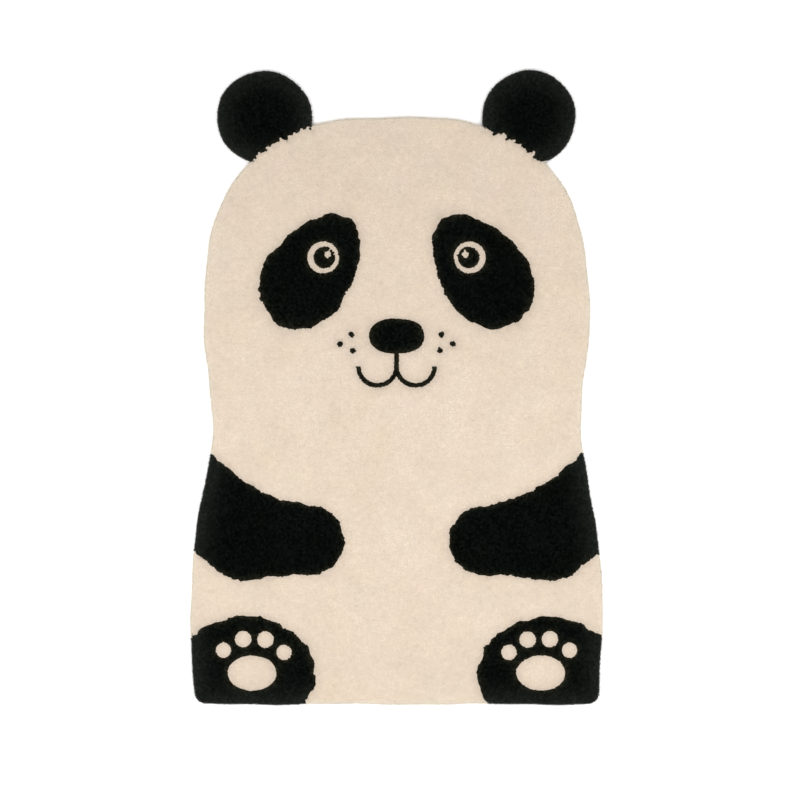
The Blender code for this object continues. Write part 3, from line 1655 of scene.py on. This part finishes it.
RIM_ROWS = (
    RimRow(root_inset=0.0026, tip_inset=0.0015, tip_height=0.0098, outmost=1.0),
    RimRow(root_inset=0.0045, tip_inset=0.0029, tip_height=0.0120, outmost=0.45),
    RimRow(root_inset=0.0062, tip_inset=0.0046, tip_height=0.0133, outmost=0.20),
)
STRAY_ROWS = (
    RimRow(root_inset=0.0030, tip_inset=0.0000, tip_height=0.0090, outmost=1.0),
    RimRow(root_inset=0.0030, tip_inset=-0.0012, tip_height=0.0075, outmost=1.0),
    RimRow(root_inset=0.0034, tip_inset=-0.0024, tip_height=0.0105, outmost=1.0),
)


@dataclass
class RimYarns:
    """The outermost yarns, which show their length: they lean out over the canvas in rows.

    fine is how many points a row has for each of the outline's, so that the borders of the
    colours fall in the right places.
    """

    outline: Outline
    design: Design
    canvas_thickness: float
    sowing: Sowing
    rows: tuple[RimRow, ...]
    fine: int = 4

    def loops(self) -> bpy.types.Object:
        """Lays the rows out.

        Returns:
            Loops of points, with the lean, reach and patch of the yarns there.
        """
        roots, leans = [], []
        for row in self.rows:
            root = self.finer(self.outline.inset(row.root_inset))
            tip = self.finer(self.outline.inset(row.tip_inset))
            roots.append(at_height(root, self.canvas_thickness))
            leans.append(at_height(tip, row.tip_height) - roots[-1])
        points, lean = np.vstack(roots), np.vstack(leans)
        count = len(roots[0])
        edges = [
            (first + here, first + (here + 1) % count)
            for first in range(0, len(points), count)
            for here in range(count)
        ]
        mesh = bpy.data.meshes.new("rim_loops")
        mesh.from_pydata(points.tolist(), edges, [])
        reach = np.linalg.norm(lean, axis=1)
        outmost = np.repeat([row.outmost for row in self.rows], count)
        away = self.design.black_distance(points[:, :2])
        patch = (away < 0).astype(int)
        store(mesh, {"lean": lean / reach[:, None], "reach": reach, "outmost": outmost})
        store(mesh, {"edge": np.ones(len(points)), "black_distance": away, "patch": patch})
        return bpy.data.objects.new("rim_loops", mesh)

    def finer(self, loop: np.ndarray) -> np.ndarray:
        """Cuts each side of a loop into equal parts.

        Args:
            loop: the loop's points.

        Returns:
            The points of the finer loop.
        """
        sides = np.roll(loop, -1, axis=0) - loop
        shares = np.arange(self.fine)[None, :, None] / self.fine
        return (loop[:, None] + sides[:, None] * shares).reshape(-1, 2)

    def build(self, wools: dict[Wool, bpy.types.Material]) -> dict[Wool, list[bpy.types.Object]]:
        """Grows the yarns, one piece for each wool."""
        patches = [(f"{PART_NAMES[wool]}_{self.sowing.title}", wool) for wool in Wool]
        return plant(self.loops(), self.sowing, patches, wools)


@dataclass
class Rug:
    """The whole rug."""

    node: bpy.types.Object
    tuft_reach: float = 0.0008

    def build(self) -> None:
        """Makes the pieces, hides the solid they stand in for, and hangs them on the rug's body."""
        outline = Outline(self.node)
        design = Design()
        wools = {Wool.CREAM: CREAM_WOOL.build(), Wool.BLACK: BLACK_WOOL.build()}
        canvas = Canvas(outline)
        backing = canvas.build()
        lower = LowerPile(outline, design, canvas.thickness, self.tuft_reach)
        bed = lower.build()
        pile = Pile(outline, design, bed, self.tuft_reach).build(wools)
        for sowing, rows in ((RIM, RIM_ROWS), (STRAYS, STRAY_ROWS)):
            rim = RimYarns(outline, design, canvas.thickness, sowing, rows).build(wools)
            for wool, pieces in rim.items():
                pile[wool] += pieces
        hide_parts(NODE)
        standing = [bed, *pile[Wool.CREAM], *pile[Wool.BLACK]]
        for piece in [backing, *standing]:
            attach(piece, BODY)
            LOG.info("%s: %d faces", piece.name, len(piece.data.polygons))


# ---------------------------------------------------------------- the studio


@dataclass
class Studio:
    """A plain white floor, soft light and a camera that looks straight down.

    The photograph's view is that wide on the rug, and its middle lies off the rug's by shift.
    """

    view_width: float = 1.507
    shift_x: float = 0.0066
    shift_y: float = -0.0235
    lens: float = 85.0
    sensor: float = 36.0
    floor_size: float = 80.0
    floor_gap: float = 0.0004
    floor_tone: float = 0.97
    floor_glow: float = 0.22
    floor_roughness: float = 0.9
    floor_shine: float = 0.1
    sky: float = 0.78
    lamp_power: float = 10.6
    lamp_size: float = 1.0
    lamp_places: tuple[tuple[float, float, float], ...] = ((-0.9, -0.4, 1.5), (0.9, -0.4, 1.5))

    def build_floor(self) -> None:
        """Makes the floor."""
        half = self.floor_size / 2
        mesh = bpy.data.meshes.new("floor")
        corners = [(-half, -half), (half, -half), (half, half), (-half, half)]
        mesh.from_pydata([(x, y, -self.floor_gap) for x, y in corners], [], [(0, 1, 2, 3)])
        paint = Coat("floor_paint")
        paint.wear(
            {
                "Base Color": (self.floor_tone, self.floor_tone, self.floor_tone, 1.0),
                "Emission Color": WHITE,
                "Emission Strength": self.floor_glow,
                "Roughness": self.floor_roughness,
                "Specular IOR Level": self.floor_shine,
            }
        )
        mesh.materials.append(paint.material)
        shown("floor", mesh)

    def build_lights(self) -> None:
        """Lights the rug from all over, and a little more over the panda's body."""
        world = bpy.data.worlds.new("studio")
        world.use_nodes = True
        sky = world.node_tree.nodes["Background"].inputs
        sky["Color"].default_value = WHITE
        sky["Strength"].default_value = self.sky
        bpy.context.scene.world = world
        for place in self.lamp_places:
            lamp = bpy.data.lights.new("soft_lamp", "AREA")
            lamp.energy = self.lamp_power
            lamp.size = self.lamp_size
            light = bpy.data.objects.new("soft_lamp", lamp)
            light.location = place
            light.rotation_euler = (-Vector(place)).to_track_quat("-Z", "Y").to_euler()
            bpy.context.scene.collection.objects.link(light)

    def build_camera(self) -> None:
        """Makes the camera, with the panda's head up in the picture."""
        distance = self.lens / self.sensor * self.view_width
        camera = bpy.data.objects.new("camera", bpy.data.cameras.new("camera"))
        camera.data.lens = self.lens
        camera.data.sensor_width = self.sensor
        camera.location = (self.shift_x, self.shift_y, CAD_BOUNDS[1].z + distance)
        bpy.context.scene.collection.objects.link(camera)
        bpy.context.scene.camera = camera

    def build(self) -> None:
        """Sets the studio up."""
        self.build_floor()
        self.build_lights()
        self.build_camera()
        bpy.context.scene.view_settings.view_transform = "Standard"


def main() -> None:
    """Builds the rug and the studio."""
    logging.basicConfig(level=logging.INFO)
    Rug(frame["nodes"][NODE]).build()
    Studio().build()


if __name__ == "__main__":
    main()
